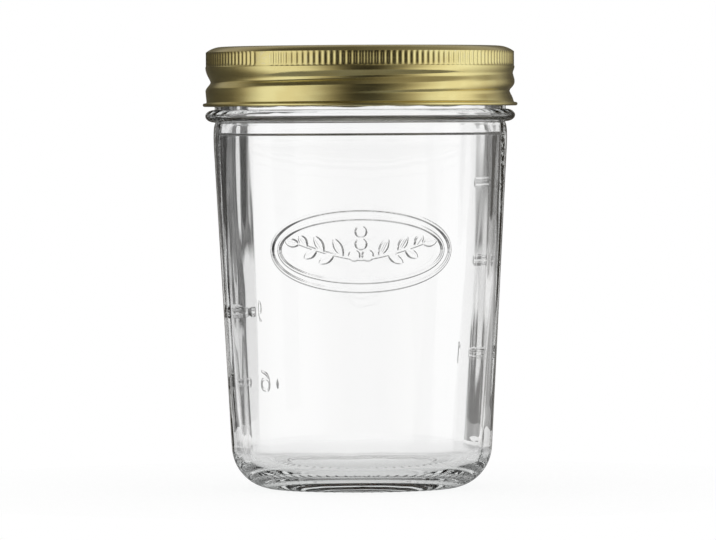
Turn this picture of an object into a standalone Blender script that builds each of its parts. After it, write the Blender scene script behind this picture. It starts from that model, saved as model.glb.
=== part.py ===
"""Wide-mouth preserving jar of half a litre, closed with a lid disc and a screw band.

A pressed glass jar, a pressed tinplate lid disc with its sealing ring, and a tinplate screw
band whose thread is rolled into the sheet. Metres, +Z up. The origin is the middle of the
foot, on the surface that the jar stands on, and the front of the jar looks along -Y.
"""

import math

import bmesh
import bpy

MM = 0.001

# Fits
SEAT_GAP = 0.3 * MM  # left between two pieces that touch
THREAD_PLAY = 0.95 * MM  # from the crest of the glass thread out to the band
CREST_PLAY = 0.8 * MM  # from the band's rolled crest in to the neck
BEAD_PLAY = 0.6 * MM  # from the bead of the glass up to the band
MERGE = 0.01 * MM

# Glass jar
GLASS_HEIGHT = 124.6 * MM
MOUTH_RADIUS = 38.2 * MM
NECK_WALL = 3.7 * MM
SHOULDER_PROUD = 0.4 * MM  # how far the shoulder stands out past the neck
SHOULDER_DROP = 3.9 * MM  # from the groove under the bead to the widest place
BODY_TAPER = 4.8 * MM  # lost in radius from the shoulder to the foot
BODY_WALL = 3.5 * MM  # just over the rounded edge of the floor
BODY_BOW_SHARE = 1.63  # power of the inner wall's bow: 1 is a straight cone, more bows it outwards
BASE_THICKNESS = 6.0 * MM
FLOOR_ROUND = 6.5 * MM  # where the floor turns up into the wall
HEEL_RADIUS = 12.4 * MM
BEARING_WIDTH = 2.8 * MM  # flat ring that the jar stands on
PUSH_UP_HEIGHT = 2.0 * MM
RIM_ROUND = 1.0 * MM
BEAD_HEIGHT = 3.6 * MM
BEAD_PROUD = 2.7 * MM
BEAD_GROOVE = 0.2 * MM  # depth of the groove under the bead
BEAD_GROOVE_HEIGHT = 0.4 * MM
MOUTH_DEPTH = 22.6 * MM  # straight bore of the mouth, from the rim down
BORE_STEP = 0.25 * MM  # by which the body is wider than the bore
BORE_STEP_HEIGHT = 0.8 * MM

# Thread that the glass and the band share
THREAD_PITCH = 5.08 * MM
RIDGE_HEIGHT = 1.3 * MM
RIDGE_ROUND_SHARE = 0.27  # radius of the ridge's section, of the pitch
RIDGE_ABOVE_GROOVE_SHARE = 0.51  # of the pitch
RIDGE_FROM, RIDGE_TO = math.radians(-60), math.radians(385)
RIDGE_FADE = math.radians(45)
RIDGE_DROP = 2.4 * MM  # from the rim down to the upper end of the ridge
GROOVE_FROM, GROOVE_TO = math.radians(-165), math.radians(430)
GROOVE_FADE = math.radians(180)
GROOVE_BOW_SHARE = 1.3  # power of the groove's slopes: 1 is a plain V
FLANK_FROM, FLANK_OVER = math.radians(45), math.radians(135)  # where the slopes turn from one kind into the other
CREST_FLANK_SHARE = 0.50  # of the pitch: a slope up to the crest between two turns
OPEN_FLANK_SHARE = 0.62  # of the pitch: a slope down to the plain skirt
STEEP_FLANK_SHARE = 0.45  # of the pitch: a slope down to the crest between two turns

# Screw band
BAND_SHEET = 0.3 * MM
BAND_HEIGHT = 17.2 * MM
BAND_LIP_WIDTH = 4.9 * MM  # ring that holds the disc down, flat up to the rounded corner
BAND_CORNER_WIDTH = 2.6 * MM
BAND_CORNER_HEIGHT = 1.6 * MM
KNURL_HEIGHT = 4.1 * MM
KNURL_SET_IN = 0.15 * MM
KNURL_PITCH = 1.7 * MM  # from tooth to tooth round the edge
KNURL_DEPTH = 0.18 * MM
KNURL_CUT_OUT = 2.0 * MM  # how far the knurl's cutter reaches past the band
SKIRT_HEIGHT = 5.0 * MM  # plain stretch under the thread
SKIRT_TAPER = 0.5 * MM
FLANGE_WIDTH = 1.3 * MM
FLANGE_HEIGHT = 0.7 * MM

# Lid disc and sealing ring
DISC_SHEET = 0.3 * MM
DISC_OVERHANG = 0.1 * MM  # past the neck
DISC_EDGE_HEIGHT = 1.1 * MM
DISC_EDGE_ROUND = 0.5 * MM
CHANNEL_SLOPE = 2.0 * MM  # width of the wall between the channel and the moat
CHANNEL_IN = 0.1 * MM  # from the bore in to the top of that wall
MOAT_WIDTH = 2.6 * MM
MOAT_DEPTH = 1.2 * MM
PANEL_RISE = 0.55 * MM  # from the moat up to the edge of the panel
PANEL_CROWN = 0.25 * MM
PANEL_STEP = 1.2 * MM
SEAL_THICKNESS = 0.9 * MM
SEAL_IN = 0.5 * MM  # from the bore out to the ring
SEAL_OUT = 0.6 * MM  # from the ring out to the face of the neck
SEAL_CHAMFER = 0.2 * MM

# Facets
GLASS_STEPS = 60
BAND_STEPS = 60
LID_STEPS = 42
BODY_ROWS = 4
THREAD_ROWS = 12

# Heights, from the rim of the glass up and down again
SEAL_BOTTOM = GLASS_HEIGHT + SEAT_GAP
SEAL_TOP = SEAL_BOTTOM + SEAL_THICKNESS
DISC_TOP = SEAL_TOP + SEAT_GAP + DISC_SHEET
BAND_TOP = DISC_TOP + SEAT_GAP + BAND_SHEET
BAND_BOTTOM = BAND_TOP - BAND_HEIGHT
BEAD_TOP = BAND_BOTTOM - BEAD_PLAY
BEAD_BOTTOM = BEAD_TOP - BEAD_HEIGHT
SHOULDER_TOP = BEAD_BOTTOM - BEAD_GROOVE_HEIGHT
WIDEST_Z = SHOULDER_TOP - SHOULDER_DROP
GROOVE_TURNS = RIDGE_TO / math.tau + RIDGE_ABOVE_GROOVE_SHARE
GROOVE_Z = GLASS_HEIGHT - RIDGE_DROP - THREAD_PITCH * GROOVE_TURNS  # at angle zero
KNURL_TOP = BAND_TOP - BAND_CORNER_HEIGHT
KNURL_BOTTOM = KNURL_TOP - KNURL_HEIGHT

# Radii, from the mouth outwards
NECK_RADIUS = MOUTH_RADIUS + NECK_WALL
SHOULDER_RADIUS = NECK_RADIUS + SHOULDER_PROUD
FOOT_RADIUS = SHOULDER_RADIUS - BODY_TAPER
BEARING_RADIUS = FOOT_RADIUS - HEEL_RADIUS
RIDGE_ROUND = RIDGE_ROUND_SHARE * THREAD_PITCH
BAND_RADIUS = NECK_RADIUS + RIDGE_HEIGHT + THREAD_PLAY + BAND_SHEET
GROOVE_DEPTH = RIDGE_HEIGHT + THREAD_PLAY - CREST_PLAY
DISC_RADIUS = NECK_RADIUS + DISC_OVERHANG


def arc(centre_r, centre_z, radius_r, start, end, points, radius_z=None):
    """Points (r, z) on a round or an oval stretch, from one angle in degrees to another."""
    radius_z = radius_r if radius_z is None else radius_z
    angles = [math.radians(start + (end - start) * i / (points - 1)) for i in range(points)]
    return [(centre_r + radius_r * math.cos(a), centre_z + radius_z * math.sin(a)) for a in angles]


def smooth(share):
    """Eases a share from 0 to 1, flat at both ends."""
    share = min(max(share, 0.0), 1.0)
    return share * share * (3.0 - 2.0 * share)


def fade(angle, start, end, length):
    """Grows from 0 at the start of a thread, and back to 0 at its end."""
    return smooth((angle - start) / length) * smooth((end - angle) / length)


def clear_scene():
    for obj in list(bpy.data.objects):
        bpy.data.objects.remove(obj)


def collection(name):
    made = bpy.data.collections.new(name)
    bpy.context.scene.collection.children.link(made)
    return made


def material(name, colour, roughness, metallic=0.0, transmission=0.0):
    made = bpy.data.materials.new(name)
    made.use_nodes = True
    shader = made.node_tree.nodes["Principled BSDF"]
    shader.inputs["Base Color"].default_value = (*colour, 1.0)
    shader.inputs["Roughness"].default_value = roughness
    shader.inputs["Metallic"].default_value = metallic
    shader.inputs["Transmission Weight"].default_value = transmission
    return made


def turned(name, profile, steps, group):
    """A shape turned about the Z axis from (r, z) points that run down its outer side."""
    mesh = bpy.data.meshes.new(name)
    links = [(i, i + 1) for i in range(len(profile) - 1)]
    mesh.from_pydata([(r, 0.0, z) for r, z in profile], links, [])
    obj = bpy.data.objects.new(name, mesh)
    group.objects.link(obj)
    screw = obj.modifiers.new("Turn", "SCREW")
    screw.steps = screw.render_steps = steps
    screw.use_merge_vertices = True
    screw.merge_threshold = MERGE
    screw.use_smooth_shade = True
    return obj


def made_mesh(obj):
    """Turns an object and its modifiers into a plain mesh, whose loose caps are welded."""
    bpy.context.view_layer.update()
    graph = bpy.context.evaluated_depsgraph_get()
    mesh = bpy.data.meshes.new_from_object(obj.evaluated_get(graph))
    bm = bmesh.new()
    bm.from_mesh(mesh)
    bmesh.ops.remove_doubles(bm, verts=bm.verts, dist=MERGE)
    bm.to_mesh(mesh)
    bm.free()
    new = bpy.data.objects.new(obj.name, mesh)
    new.matrix_world = obj.matrix_world
    obj.users_collection[0].objects.link(new)
    name = obj.name
    bpy.data.objects.remove(obj)
    new.name = name
    return new


def sheet_wall(obj, thickness):
    """Gives a surface the thickness of its sheet, inwards from the outer face."""
    wall = obj.modifiers.new("Sheet", "SOLIDIFY")
    wall.thickness = thickness
    wall.offset = -1.0
    wall.use_even_offset = True


def finish(obj, paint):
    """Gives a piece its material, and crisp edges only where its form has them."""
    obj.data.materials.append(paint)
    obj.data.shade_smooth()
    obj.data.set_sharp_from_angle(angle=math.radians(35))


def glass_inside():
    """The inner wall, from the middle of the floor up to the inner edge of the rim."""
    foot = (FOOT_RADIUS - BODY_WALL, BASE_THICKNESS + FLOOR_ROUND)
    chest = (MOUTH_RADIUS + BORE_STEP, GLASS_HEIGHT - MOUTH_DEPTH - BORE_STEP_HEIGHT)
    points = [(0.0, BASE_THICKNESS)]
    points += arc(foot[0] - FLOOR_ROUND, foot[1], FLOOR_ROUND, -90, 0, 6)
    for row in range(1, BODY_ROWS + 1):
        share = row / BODY_ROWS
        bow = 1.0 - (1.0 - share) ** BODY_BOW_SHARE
        points.append((foot[0] + (chest[0] - foot[0]) * bow, foot[1] + (chest[1] - foot[1]) * share))
    points.append((MOUTH_RADIUS, GLASS_HEIGHT - MOUTH_DEPTH))
    return points + arc(MOUTH_RADIUS + RIM_ROUND, GLASS_HEIGHT - RIM_ROUND, RIM_ROUND, 180, 90, 4)


def glass_outside():
    """The outer wall, from the outer edge of the rim down to the middle of the foot."""
    points = arc(NECK_RADIUS - RIM_ROUND, GLASS_HEIGHT - RIM_ROUND, RIM_ROUND, 90, 0, 4)
    bead_z = (BEAD_TOP + BEAD_BOTTOM) / 2
    points += arc(NECK_RADIUS, bead_z, BEAD_PROUD, 90, -90, 8, radius_z=BEAD_HEIGHT / 2)
    points.append((NECK_RADIUS - BEAD_GROOVE, SHOULDER_TOP))
    round_r = SHOULDER_PROUD + BEAD_GROOVE
    points += arc(SHOULDER_RADIUS - round_r, WIDEST_Z, round_r, 60, 0, 4, radius_z=SHOULDER_DROP)
    lean = math.degrees(math.atan2(BODY_TAPER, WIDEST_Z - HEEL_RADIUS))
    points += arc(BEARING_RADIUS, HEEL_RADIUS, HEEL_RADIUS, -lean, -90, 7)
    inner = BEARING_RADIUS - BEARING_WIDTH
    points += [(inner * share, PUSH_UP_HEIGHT * math.sqrt(1.0 - share**2)) for share in (1.0, 0.94, 0.6)]
    return points + [(0.0, PUSH_UP_HEIGHT)]


def thread_angles(start, end):
    count = round((end - start) / math.radians(15))
    return [start + (end - start) * i / count for i in range(count + 1)]


def thread_ridge(group):
    """The ridge that the band screws down on: a round bar wound round the neck and let into it."""
    curve = bpy.data.curves.new("thread_ridge", "CURVE")
    curve.dimensions = "3D"
    curve.bevel_depth = RIDGE_ROUND
    curve.bevel_resolution = 2
    curve.use_fill_caps = True
    angles = thread_angles(RIDGE_FROM, RIDGE_TO)
    spline = curve.splines.new("POLY")
    spline.points.add(len(angles) - 1)
    centre = NECK_RADIUS + RIDGE_HEIGHT - RIDGE_ROUND
    least_share = 0.1
    for point, angle in zip(spline.points, angles):
        height = GROOVE_Z + THREAD_PITCH * (angle / math.tau + RIDGE_ABOVE_GROOVE_SHARE)
        point.co = (centre * math.cos(angle), centre * math.sin(angle), height, 1.0)
        point.radius = max(fade(angle, RIDGE_FROM, RIDGE_TO, RIDGE_FADE), least_share)
    ridge = bpy.data.objects.new("thread_ridge", curve)
    group.objects.link(ridge)
    ridge = made_mesh(ridge)
    ridge.hide_render = True
    ridge.display_type = "WIRE"
    return ridge


def glass_jar(parts, tools):
    jar = turned("glass_jar", glass_inside() + glass_outside(), GLASS_STEPS, parts)
    join = jar.modifiers.new("Thread", "BOOLEAN")
    join.operation = "UNION"
    join.solver = "EXACT"
    join.object = thread_ridge(tools)
    finish(jar, material("clear_glass", (0.93, 0.96, 0.95), 0.03, transmission=1.0))


def groove_depth(angle, height):
    """How far the rolled thread pushes the band's sheet in, at one place on the wall."""
    deepest = 0.0
    for turns in (-1, 0, 1):
        along = angle + turns * math.tau
        bottom = GROOVE_Z + THREAD_PITCH * along / math.tau
        # The first turn lies between the crest and the skirt, and the second between the knurl and the crest.
        second = smooth((along - FLANK_FROM) / FLANK_OVER)
        upper = THREAD_PITCH * CREST_FLANK_SHARE * (1.0 - second) + (KNURL_BOTTOM - bottom) * second
        lower = THREAD_PITCH * (OPEN_FLANK_SHARE + (STEEP_FLANK_SHARE - OPEN_FLANK_SHARE) * second)
        reach = (height - bottom) / upper if height > bottom else (bottom - height) / lower
        if upper > 0.0 and reach < 1.0:
            section = (1.0 - reach) ** GROOVE_BOW_SHARE
            deepest = max(deepest, section * fade(along, GROOVE_FROM, GROOVE_TO, GROOVE_FADE))
    return GROOVE_DEPTH * deepest


def band_profile():
    """The outer face of the band's sheet, from the inner edge of its lip down to its flange."""
    knurl_r = BAND_RADIUS - KNURL_SET_IN
    corner = (BAND_CORNER_WIDTH, BAND_CORNER_HEIGHT)
    skirt_top = BAND_BOTTOM + SKIRT_HEIGHT
    skirt_r = BAND_RADIUS - SKIRT_TAPER
    flange_top = BAND_BOTTOM + FLANGE_HEIGHT
    points = [(BAND_RADIUS - BAND_LIP_WIDTH, BAND_TOP)]
    points += arc(knurl_r - corner[0], KNURL_TOP, corner[0], 90, 0, 4, radius_z=corner[1])
    points.append((knurl_r, KNURL_BOTTOM))
    rows = [i / (THREAD_ROWS - 1) for i in range(THREAD_ROWS)]
    wall_top = KNURL_BOTTOM - KNURL_SET_IN
    for share in rows:
        height = wall_top + (flange_top + FLANGE_HEIGHT - wall_top) * share
        below = smooth((skirt_top - height) / SKIRT_HEIGHT)
        points.append((BAND_RADIUS - SKIRT_TAPER * below, height))
    points.append((skirt_r, flange_top))
    points.append((skirt_r + FLANGE_WIDTH, BAND_BOTTOM + BAND_SHEET))
    return points


def knurl_tool(group):
    """A ring that is a star inside, whose points press the knurl's furrows into the edge."""
    radius = BAND_RADIUS - KNURL_SET_IN
    teeth = round(math.tau * radius / KNURL_PITCH)
    bm = bmesh.new()
    bmesh.ops.create_circle(bm, segments=2 * teeth, radius=radius + KNURL_SET_IN)
    star = list(bm.verts)
    ring = bmesh.ops.extrude_edge_only(bm, edges=bm.edges[:])["geom"]
    reach = 1.0 + KNURL_CUT_OUT / radius
    bmesh.ops.scale(bm, vec=(reach, reach, 1.0), verts=[v for v in ring if isinstance(v, bmesh.types.BMVert)])
    for vertex in star[::2]:
        vertex.co.xy *= (radius - KNURL_DEPTH) / vertex.co.xy.length
    for vertex in bm.verts:
        vertex.co.z = KNURL_BOTTOM + KNURL_SET_IN
    sides = bmesh.ops.extrude_face_region(bm, geom=bm.faces[:])["geom"]
    raised = [v for v in sides if isinstance(v, bmesh.types.BMVert)]
    bmesh.ops.translate(bm, vec=(0.0, 0.0, KNURL_HEIGHT), verts=raised)
    bmesh.ops.recalc_face_normals(bm, faces=bm.faces)
    mesh = bpy.data.meshes.new("knurl_tool")
    bm.to_mesh(mesh)
    bm.free()
    tool = bpy.data.objects.new("knurl_tool", mesh)
    group.objects.link(tool)
    tool.hide_render = True
    tool.display_type = "WIRE"
    return tool


def screw_band(parts, tools):
    band = made_mesh(turned("screw_band", band_profile(), BAND_STEPS, parts))
    thread_bottom = BAND_BOTTOM + FLANGE_HEIGHT
    for vertex in band.data.vertices:
        x, y, z = vertex.co
        if thread_bottom < z < KNURL_BOTTOM:
            radius = math.hypot(x, y)
            inward = 1.0 - groove_depth(math.atan2(y, x), z) / radius
            vertex.co = (x * inward, y * inward, z)
    sheet_wall(band, BAND_SHEET)
    knurl = band.modifiers.new("Knurl", "BOOLEAN")
    knurl.operation = "DIFFERENCE"
    knurl.solver = "EXACT"
    knurl.object = knurl_tool(tools)
    finish(band, material("lacquered_tinplate", (0.62, 0.47, 0.22), 0.28, metallic=1.0))


def disc_profile():
    """The upper face of the disc, from the middle of its panel out and down its edge."""
    channel_r = MOUTH_RADIUS - CHANNEL_IN
    moat_r = channel_r - CHANNEL_SLOPE
    moat_z = DISC_TOP - MOAT_DEPTH
    panel_r = moat_r - MOAT_WIDTH - PANEL_STEP
    panel_z = moat_z + PANEL_RISE
    points = [(panel_r * share, panel_z + PANEL_CROWN * (1.0 - share**2)) for share in (0.0, 0.55, 1.0)]
    points += [(moat_r - MOAT_WIDTH, moat_z), (moat_r, moat_z), (channel_r, DISC_TOP)]
    edge_r = DISC_RADIUS - DISC_EDGE_ROUND
    points += arc(edge_r, DISC_TOP - DISC_EDGE_ROUND, DISC_EDGE_ROUND, 90, 0, 4)
    return points + [(DISC_RADIUS, DISC_TOP - DISC_EDGE_HEIGHT)]


def lid_disc(parts):
    disc = made_mesh(turned("lid_disc", disc_profile(), LID_STEPS, parts))
    sheet_wall(disc, DISC_SHEET)
    finish(disc, material("enamelled_tinplate", (0.66, 0.55, 0.32), 0.25, metallic=1.0))


def sealing_ring(parts):
    """The ring of sealing compound that lies between the disc's channel and the rim."""
    inner, outer = MOUTH_RADIUS + SEAL_IN, NECK_RADIUS - SEAL_OUT
    cut = SEAL_CHAMFER
    profile = [
        (inner, SEAL_BOTTOM + cut),
        (inner, SEAL_TOP - cut),
        (inner + cut, SEAL_TOP),
        (outer - cut, SEAL_TOP),
        (outer, SEAL_TOP - cut),
        (outer, SEAL_BOTTOM + cut),
        (outer - cut, SEAL_BOTTOM),
        (inner + cut, SEAL_BOTTOM),
    ]
    ring = made_mesh(turned("sealing_ring", profile + profile[:1], LID_STEPS, parts))
    finish(ring, material("sealing_compound", (0.42, 0.16, 0.10), 0.6))


def main():
    clear_scene()
    parts = collection("preserving_jar")
    tools = collection("tools")
    glass_jar(parts, tools)
    lid_disc(parts)
    sealing_ring(parts)
    screw_band(parts, tools)


main()
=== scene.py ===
"""Looks of a half-litre preserving jar: pressed glass, a rolled screw band, a lid disc and its seal."""

import math

import bpy
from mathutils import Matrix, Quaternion, Vector


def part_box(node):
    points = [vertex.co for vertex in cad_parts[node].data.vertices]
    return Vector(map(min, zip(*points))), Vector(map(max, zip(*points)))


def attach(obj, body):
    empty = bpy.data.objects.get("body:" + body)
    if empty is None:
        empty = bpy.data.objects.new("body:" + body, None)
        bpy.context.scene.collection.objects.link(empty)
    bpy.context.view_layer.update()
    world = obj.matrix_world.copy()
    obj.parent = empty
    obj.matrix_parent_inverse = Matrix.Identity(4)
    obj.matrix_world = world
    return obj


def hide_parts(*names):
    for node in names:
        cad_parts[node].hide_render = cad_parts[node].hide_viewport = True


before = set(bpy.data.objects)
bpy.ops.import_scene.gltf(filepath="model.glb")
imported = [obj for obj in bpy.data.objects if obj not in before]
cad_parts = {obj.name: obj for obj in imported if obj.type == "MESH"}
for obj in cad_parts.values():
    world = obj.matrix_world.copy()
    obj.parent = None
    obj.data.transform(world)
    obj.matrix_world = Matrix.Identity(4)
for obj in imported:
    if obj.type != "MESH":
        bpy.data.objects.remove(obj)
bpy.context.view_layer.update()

MM = 0.001
MERGE = 0.01 * MM

# Places and sizes that the frame gives
GLASS_LOW, GLASS_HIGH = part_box("glass_jar")
SEAL_LOW, SEAL_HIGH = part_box("sealing_ring")
DISC_LOW, DISC_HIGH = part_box("lid_disc")
BAND_LOW, BAND_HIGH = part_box("screw_band")
RIM_Z = GLASS_HIGH.z
BAND_TOP = BAND_HIGH.z
BAND_BOTTOM = BAND_LOW.z

# Pressed glass: the screw finish and the bead under it
BEAD_PROUD = 2.7 * MM
BEAD_HEIGHT = 3.6 * MM
BEAD_PLAY = 0.9 * MM
BEAD_GROOVE = 0.2 * MM
BEAD_GROOVE_HEIGHT = 0.2 * MM
NECK_WALL = 3.7 * MM
RIM_ROUND = 1.0 * MM
RIDGE_HEIGHT = 1.3 * MM
RIDGE_HALF_WIDTH = 1.7 * MM
RIDGE_DROP = 2.4 * MM
RIDGE_FROM, RIDGE_TO = math.radians(-60), math.radians(385)
RIDGE_FADE = math.radians(45)
NECK_RADIUS = GLASS_HIGH.x - BEAD_PROUD
MOUTH_RADIUS = NECK_RADIUS - NECK_WALL
BEAD_TOP = BAND_BOTTOM - BEAD_PLAY
BEAD_BOTTOM = BEAD_TOP - BEAD_HEIGHT

# Pressed glass: the body and the base
SHOULDER_PROUD = 0.4 * MM
SHOULDER_DROP = 3.9 * MM
BODY_TAPER = 4.8 * MM
BODY_WALL = 3.5 * MM  # just over the rounded edge of the floor
INNER_BOW = 1.63  # power of the inner wall's curve: 1 is a straight cone
BASE_THICKNESS = 6.0 * MM
FLOOR_ROUND = 6.5 * MM
FLOOR_RING = 26.0 * MM  # radius of the sunk middle of the floor
FLOOR_SUNK = 0.5 * MM
FLOOR_EDGE = 1.5  # width of its edge, in depths
HEEL_RADIUS = 12.4 * MM
BEARING_WIDTH = 2.8 * MM
PUSH_UP_HEIGHT = 2.0 * MM
MOUTH_DEPTH = 22.6 * MM
BORE_STEP = 0.25 * MM  # step in the inner wall, where the neck's bore begins
BORE_STEP_HEIGHT = 0.5 * MM
STEP_GUARD = 0.2 * MM  # height of the short faces that keep the step's shading to itself
SHOULDER_FROM = 60  # degrees: where on its oval the shoulder starts under the bead
SHOULDER_TOP = BEAD_BOTTOM - BEAD_GROOVE_HEIGHT
WIDEST_Z = SHOULDER_TOP - SHOULDER_DROP
SHOULDER_RADIUS = NECK_RADIUS + SHOULDER_PROUD
FOOT_RADIUS = SHOULDER_RADIUS - BODY_TAPER
BEARING_RADIUS = FOOT_RADIUS - HEEL_RADIUS

# The thread that the glass and the band share
THREAD_PITCH = 5.08 * MM
RIDGE_ABOVE_GROOVE_SHARE = 0.51
GROOVE_FROM, GROOVE_TO = math.radians(-165), math.radians(430)
GROOVE_FADE = math.radians(180)
GROOVE_BOWS = (2.1, 1.4)  # powers of the flanks above and below the bottom of the groove: 1 is straight
GROOVE_ROUND = 0.2  # of a flank, that is rounded off at the bottom
FLANK_FROM, FLANK_OVER = math.radians(45), math.radians(135)
CREST_FLANK_SHARE = 0.50  # heights of the flanks, in pitches
OPEN_FLANK_SHARE = 0.62
STEEP_FLANK_SHARE = 0.45
GROOVE_DEPTH = 1.45 * MM
GROOVE_Z = RIM_Z - RIDGE_DROP - THREAD_PITCH * (RIDGE_TO / math.tau + RIDGE_ABOVE_GROOVE_SHARE)

# Screw band
SHEET = 0.3 * MM
BAND_LIP_WIDTH = 4.9 * MM
BAND_CORNER_WIDTH = 4.5 * MM
BAND_CORNER_HEIGHT = 1.6 * MM
BAND_CORNER_FROM = 62  # degrees: where on its oval the corner starts over the knurl
KNURL_HEIGHT = 4.1 * MM
KNURL_SET_IN = 0.15 * MM
KNURL_DEPTH = 0.27 * MM
KNURL_PITCH = 1.7 * MM
KNURL_END = 0.7 * MM  # over which a tooth rises from the plain sheet
PLAIN_GAP_AT = math.radians(-129)  # where the knurling roll was let in, left of the front
PLAIN_GAP_HALF = math.radians(2.6)
PLAIN_GAP_FADE = PLAIN_GAP_HALF / 3
SKIRT_HEIGHT = 5.0 * MM
SKIRT_TAPER = 0.35 * MM
FLANGE_WIDTH = 1.3 * MM
SOLID_TAPER = 0.5 * MM  # the taper of the solid's skirt, which its flange is measured from
HEM_RADIUS = 0.5 * MM
# Places out from the skirt and up from the band's lower edge, where the sheet turns to its rolled hem
HEM_BEND = [(0.1 * MM, 1.125 * MM), (0.35 * MM, 1.025 * MM)]
HEM_END = (0.35 * MM, 0.05 * MM)
SKIRT_END = BAND_BOTTOM + 1.3 * MM
GROOVES_END = BAND_BOTTOM + 1.25 * MM
BAND_RADIUS = BAND_HIGH.x - FLANGE_WIDTH + SOLID_TAPER
KNURL_RADIUS = BAND_RADIUS - KNURL_SET_IN
KNURL_TOP = BAND_TOP - BAND_CORNER_HEIGHT
KNURL_BOTTOM = KNURL_TOP - KNURL_HEIGHT
TEETH_END = KNURL_TOP + 0.1 * MM  # where the teeth run out into the corner
TEETH = round(math.tau * KNURL_RADIUS / KNURL_PITCH)

# Steps round the turned pieces, and up their longest walls
GLASS_COLUMNS = 240
BAND_COLUMNS = 4 * TEETH
INNER_WALL_ROWS = 40
SKIRT_ROWS = 36


def arc(centre, radii, start, end, steps):
    """Points (r, z) on a round or oval stretch, from one angle in degrees to another."""
    angles = [math.radians(start + (end - start) * i / steps) for i in range(steps + 1)]
    return [(centre[0] + radii[0] * math.cos(a), centre[1] + radii[1] * math.sin(a)) for a in angles]


def straight(start, end, pitch):
    """Points along a straight stretch, about one pitch apart, without its two ends."""
    steps = max(round(math.dist(start, end) / pitch), 1)
    shares = [i / steps for i in range(1, steps)]
    return [(start[0] + (end[0] - start[0]) * s, start[1] + (end[1] - start[1]) * s) for s in shares]


def smooth(share):
    """Eases a share from 0 to 1, flat at both ends."""
    share = min(max(share, 0.0), 1.0)
    return share * share * (3.0 - 2.0 * share)


def turn(name, outline, columns):
    """Spins an outline of (r, z) points round the Z axis, and closes it where it meets the axis."""
    bpy.ops.object.select_all(action="DESELECT")
    bpy.ops.mesh.primitive_plane_add(size=MM, location=(outline[0][0], 0.0, outline[0][1]))
    piece = bpy.context.object
    piece.name = piece.data.name = name
    bpy.ops.object.transform_apply(location=True, rotation=True, scale=True)
    bpy.ops.object.mode_set(mode="EDIT")
    bpy.ops.mesh.merge(type="CENTER")
    for (r, z), (next_r, next_z) in zip(outline, outline[1:]):
        bpy.ops.mesh.extrude_region_move(TRANSFORM_OT_translate={"value": (next_r - r, 0.0, next_z - z)})
    bpy.ops.mesh.select_all(action="SELECT")
    bpy.ops.mesh.spin(steps=columns, angle=math.tau, center=(0.0, 0.0, 0.0), axis=(0.0, 0.0, 1.0))
    bpy.ops.mesh.remove_doubles(threshold=MERGE)
    bpy.ops.mesh.select_all(action="SELECT")
    bpy.ops.mesh.normals_make_consistent(inside=False)
    bpy.ops.object.mode_set(mode="OBJECT")
    return piece


def smoothed(piece, angle):
    """Shades a piece smooth, and leaves the edges that are sharper than an angle crisp."""
    bpy.ops.object.select_all(action="DESELECT")
    piece.select_set(True)
    bpy.context.view_layer.objects.active = piece
    bpy.ops.object.shade_smooth_by_angle(angle=math.radians(angle))


def sheet_wall(piece, outside, inside):
    """Gives a turned face the thickness of its sheet inwards, with a finish for each side."""
    piece.data.materials.append(outside)
    piece.data.materials.append(inside)
    wall = piece.modifiers.new("Sheet", "SOLIDIFY")
    wall.thickness = SHEET
    wall.offset = -1.0
    wall.use_even_offset = True
    wall.material_offset = 1
    bpy.context.view_layer.objects.active = piece
    bpy.ops.object.modifier_apply(modifier=wall.name)


# Glass


def body_radius(z):
    """Outer radius of the tapered wall at a height."""
    share = (z - HEEL_RADIUS) / (WIDEST_Z - HEEL_RADIUS)
    return FOOT_RADIUS + BODY_TAPER * share


def outer_radius(z):
    """Outer radius of the glass under the shoulder, with the rounded heel."""
    if z >= HEEL_RADIUS:
        return body_radius(z)
    return BEARING_RADIUS + math.sqrt(HEEL_RADIUS**2 - (HEEL_RADIUS - z) ** 2)


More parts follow.
